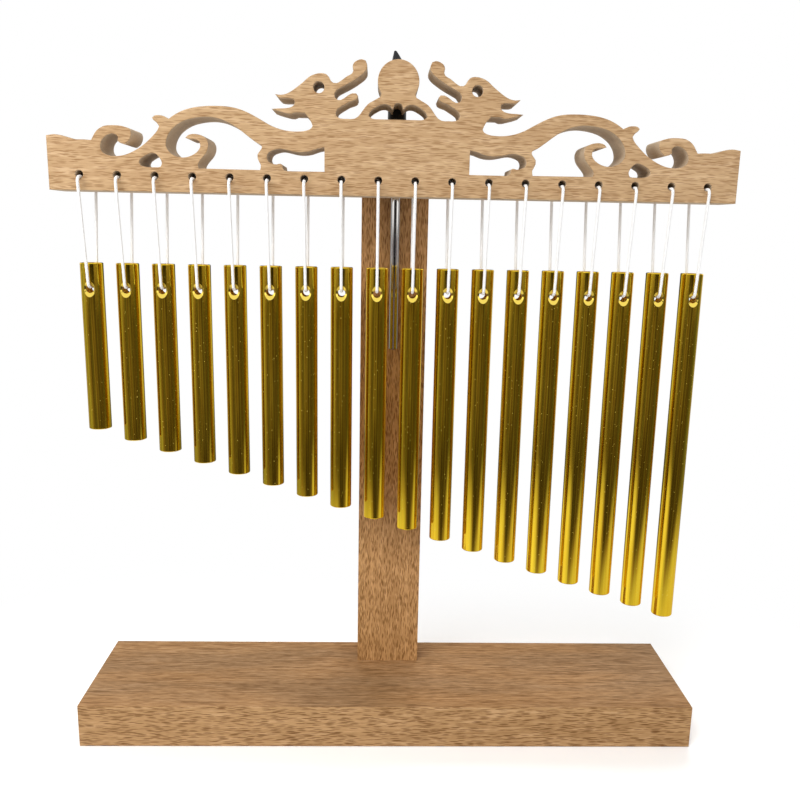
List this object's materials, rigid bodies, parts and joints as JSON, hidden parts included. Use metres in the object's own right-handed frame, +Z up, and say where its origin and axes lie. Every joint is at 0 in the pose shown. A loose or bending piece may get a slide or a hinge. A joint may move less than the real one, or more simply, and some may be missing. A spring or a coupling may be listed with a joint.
{
  "type": "bar chimes",
  "caption": "Tabletop bar chimes: a row of gold tubes of graded length hung on cord loops from a fretted wooden crossbar on a post and base, with a beater behind.",
  "frame": {"origin": "centre of the base board's underside", "axes": "+Z up, +X to the player's right along the row, -Y towards the player"},
  "size_m": [0.286, 0.06, 0.3075],
  "materials": {
    "beech_pale": "satin",
    "beech_dark": "satin",
    "gold_tube": "gloss, gold anodised",
    "white_cord": "braided",
    "steel_rod": "polished",
    "black_grip": "semi-matt",
    "zinc_screw": "zinc plated"
  },
  "bodies": {
    "frame": {"base_board": "beech_dark", "post": "beech_dark", "crossbar": "beech_pale", "beater_holder": "beech_pale", "crossbar_screws": "zinc_screw", "base_screws": "zinc_screw"},
    "beater": {"beater_rod": "steel_rod", "beater_grip": "black_grip"},
    "hanger_01": {"cord_01": "white_cord"},
    "chime_01": {"tube_01": "gold_tube"},
    "hanger_02": {"cord_02": "white_cord"},
    "chime_02": {"tube_02": "gold_tube"},
    "hanger_03": {"cord_03": "white_cord"},
    "chime_03": {"tube_03": "gold_tube"},
    "hanger_04": {"cord_04": "white_cord"},
    "chime_04": {"tube_04": "gold_tube"},
    "hanger_05": {"cord_05": "white_cord"},
    "chime_05": {"tube_05": "gold_tube"},
    "hanger_06": {"cord_06": "white_cord"},
    "chime_06": {"tube_06": "gold_tube"},
    "hanger_07": {"cord_07": "white_cord"},
    "chime_07": {"tube_07": "gold_tube"},
    "hanger_08": {"cord_08": "white_cord"},
    "chime_08": {"tube_08": "gold_tube"},
    "hanger_09": {"cord_09": "white_cord"},
    "chime_09": {"tube_09": "gold_tube"},
    "hanger_10": {"cord_10": "white_cord"},
    "chime_10": {"tube_10": "gold_tube"},
    "hanger_11": {"cord_11": "white_cord"},
    "chime_11": {"tube_11": "gold_tube"},
    "hanger_12": {"cord_12": "white_cord"},
    "chime_12": {"tube_12": "gold_tube"},
    "hanger_13": {"cord_13": "white_cord"},
    "chime_13": {"tube_13": "gold_tube"},
    "hanger_14": {"cord_14": "white_cord"},
    "chime_14": {"tube_14": "gold_tube"},
    "hanger_15": {"cord_15": "white_cord"},
    "chime_15": {"tube_15": "gold_tube"},
    "hanger_16": {"cord_16": "white_cord"},
    "chime_16": {"tube_16": "gold_tube"},
    "hanger_17": {"cord_17": "white_cord"},
    "chime_17": {"tube_17": "gold_tube"},
    "hanger_18": {"cord_18": "white_cord"},
    "chime_18": {"tube_18": "gold_tube"}
  },
  "joints": [
    {"name": "beater_lift", "type": "slide", "parent": "frame", "child": "beater", "axis": [0, 0, 1], "range_m": [0, 0.12]},
    {"name": "swing_01", "type": "hinge", "parent": "frame", "child": "hanger_01", "pos_m": [-0.13048, -0.006, 0.246], "axis": [-1, 0, 0], "range_deg": [-30, 30], "deforming": ["cord_01"]},
    {"name": "swing_02", "type": "hinge", "parent": "frame", "child": "hanger_02", "pos_m": [-0.11513, -0.006, 0.246], "axis": [-1, 0, 0], "range_deg": [-30, 30], "deforming": ["cord_02"]},
    {"name": "swing_03", "type": "hinge", "parent": "frame", "child": "hanger_03", "pos_m": [-0.09978, -0.006, 0.246], "axis": [-1, 0, 0], "range_deg": [-30, 30], "deforming": ["cord_03"]},
    {"name": "swing_04", "type": "hinge", "parent": "frame", "child": "hanger_04", "pos_m": [-0.08443, -0.006, 0.246], "axis": [-1, 0, 0], "range_deg": [-30, 30], "deforming": ["cord_04"]},
    {"name": "swing_05", "type": "hinge", "parent": "frame", "child": "hanger_05", "pos_m": [-0.06907, -0.006, 0.246], "axis": [-1, 0, 0], "range_deg": [-30, 30], "deforming": ["cord_05"]},
    {"name": "swing_06", "type": "hinge", "parent": "frame", "child": "hanger_06", "pos_m": [-0.05373, -0.006, 0.246], "axis": [-1, 0, 0], "range_deg": [-30, 30], "deforming": ["cord_06"]},
    {"name": "swing_07", "type": "hinge", "parent": "frame", "child": "hanger_07", "pos_m": [-0.03837, -0.006, 0.246], "axis": [-1, 0, 0], "range_deg": [-30, 30], "deforming": ["cord_07"]},
    {"name": "swing_08", "type": "hinge", "parent": "frame", "child": "hanger_08", "pos_m": [-0.02303, -0.006, 0.246], "axis": [-1, 0, 0], "range_deg": [-30, 30], "deforming": ["cord_08"]},
    {"name": "swing_09", "type": "hinge", "parent": "frame", "child": "hanger_09", "pos_m": [-0.00768, -0.006, 0.246], "axis": [-1, 0, 0], "range_deg": [-4.5, 30], "deforming": ["cord_09"]},
    {"name": "swing_10", "type": "hinge", "parent": "frame", "child": "hanger_10", "pos_m": [0.00768, -0.006, 0.246], "axis": [-1, 0, 0], "range_deg": [-4.5, 30], "deforming": ["cord_10"]},
    {"name": "swing_11", "type": "hinge", "parent": "frame", "child": "hanger_11", "pos_m": [0.02303, -0.006, 0.246], "axis": [-1, 0, 0], "range_deg": [-30, 30], "deforming": ["cord_11"]},
    {"name": "swing_12", "type": "hinge", "parent": "frame", "child": "hanger_12", "pos_m": [0.03837, -0.006, 0.246], "axis": [-1, 0, 0], "range_deg": [-30, 30], "deforming": ["cord_12"]},
    {"name": "swing_13", "type": "hinge", "parent": "frame", "child": "hanger_13", "pos_m": [0.05373, -0.006, 0.246], "axis": [-1, 0, 0], "range_deg": [-30, 30], "deforming": ["cord_13"]},
    {"name": "swing_14", "type": "hinge", "parent": "frame", "child": "hanger_14", "pos_m": [0.06907, -0.006, 0.246], "axis": [-1, 0, 0], "range_deg": [-30, 30], "deforming": ["cord_14"]},
    {"name": "swing_15", "type": "hinge", "parent": "frame", "child": "hanger_15", "pos_m": [0.08443, -0.006, 0.246], "axis": [-1, 0, 0], "range_deg": [-30, 30], "deforming": ["cord_15"]},
    {"name": "swing_16", "type": "hinge", "parent": "frame", "child": "hanger_16", "pos_m": [0.09978, -0.006, 0.246], "axis": [-1, 0, 0], "range_deg": [-30, 30], "deforming": ["cord_16"]},
    {"name": "swing_17", "type": "hinge", "parent": "frame", "child": "hanger_17", "pos_m": [0.11513, -0.006, 0.246], "axis": [-1, 0, 0], "range_deg": [-30, 30], "deforming": ["cord_17"]},
    {"name": "swing_18", "type": "hinge", "parent": "frame", "child": "hanger_18", "pos_m": [0.13048, -0.006, 0.246], "axis": [-1, 0, 0], "range_deg": [-30, 30], "deforming": ["cord_18"]},
    {"name": "rock_01", "type": "hinge", "parent": "hanger_01", "child": "chime_01", "pos_m": [-0.13048, -0.006, 0.2061], "axis": [0, 1, 0], "range_deg": [-4.98, 20]},
    {"name": "rock_02", "type": "hinge", "parent": "hanger_02", "child": "chime_02", "pos_m": [-0.11513, -0.006, 0.2061], "axis": [0, 1, 0], "range_deg": [-4.61, 4.61]},
    {"name": "rock_03", "type": "hinge", "parent": "hanger_03", "child": "chime_03", "pos_m": [-0.09978, -0.006, 0.2061], "axis": [0, 1, 0], "range_deg": [-4.3, 4.3]},
    {"name": "rock_04", "type": "hinge", "parent": "hanger_04", "child": "chime_04", "pos_m": [-0.08443, -0.006, 0.2061], "axis": [0, 1, 0], "range_deg": [-4.02, 4.02]},
    {"name": "rock_05", "type": "hinge", "parent": "hanger_05", "child": "chime_05", "pos_m": [-0.06907, -0.006, 0.2061], "axis": [0, 1, 0], "range_deg": [-3.77, 3.77]},
    {"name": "rock_06", "type": "hinge", "parent": "hanger_06", "child": "chime_06", "pos_m": [-0.05373, -0.006, 0.2061], "axis": [0, 1, 0], "range_deg": [-3.55, 3.55]},
    {"name": "rock_07", "type": "hinge", "parent": "hanger_07", "child": "chime_07", "pos_m": [-0.03837, -0.006, 0.2061], "axis": [0, 1, 0], "range_deg": [-3.36, 3.36]},
    {"name": "rock_08", "type": "hinge", "parent": "hanger_08", "child": "chime_08", "pos_m": [-0.02303, -0.006, 0.2061], "axis": [0, 1, 0], "range_deg": [-3.18, 3.18]},
    {"name": "rock_09", "type": "hinge", "parent": "hanger_09", "child": "chime_09", "pos_m": [-0.00768, -0.006, 0.2061], "axis": [0, 1, 0], "range_deg": [-3.03, 3.03]},
    {"name": "rock_10", "type": "hinge", "parent": "hanger_10", "child": "chime_10", "pos_m": [0.00768, -0.006, 0.2061], "axis": [0, 1, 0], "range_deg": [-2.88, 2.88]},
    {"name": "rock_11", "type": "hinge", "parent": "hanger_11", "child": "chime_11", "pos_m": [0.02303, -0.006, 0.2061], "axis": [0, 1, 0], "range_deg": [-2.75, 2.75]},
    {"name": "rock_12", "type": "hinge", "parent": "hanger_12", "child": "chime_12", "pos_m": [0.03837, -0.006, 0.2061], "axis": [0, 1, 0], "range_deg": [-2.63, 2.63]},
    {"name": "rock_13", "type": "hinge", "parent": "hanger_13", "child": "chime_13", "pos_m": [0.05373, -0.006, 0.2061], "axis": [0, 1, 0], "range_deg": [-2.52, 2.52]},
    {"name": "rock_14", "type": "hinge", "parent": "hanger_14", "child": "chime_14", "pos_m": [0.06907, -0.006, 0.2061], "axis": [0, 1, 0], "range_deg": [-2.41, 2.41]},
    {"name": "rock_15", "type": "hinge", "parent": "hanger_15", "child": "chime_15", "pos_m": [0.08443, -0.006, 0.2061], "axis": [0, 1, 0], "range_deg": [-2.32, 2.32]},
    {"name": "rock_16", "type": "hinge", "parent": "hanger_16", "child": "chime_16", "pos_m": [0.09978, -0.006, 0.2061], "axis": [0, 1, 0], "range_deg": [-2.23, 2.23]},
    {"name": "rock_17", "type": "hinge", "parent": "hanger_17", "child": "chime_17", "pos_m": [0.11513, -0.006, 0.2061], "axis": [0, 1, 0], "range_deg": [-2.15, 2.15]},
    {"name": "rock_18", "type": "hinge", "parent": "hanger_18", "child": "chime_18", "pos_m": [0.13048, -0.006, 0.2061], "axis": [0, 1, 0], "range_deg": [-20, 2.07]}
  ]
}
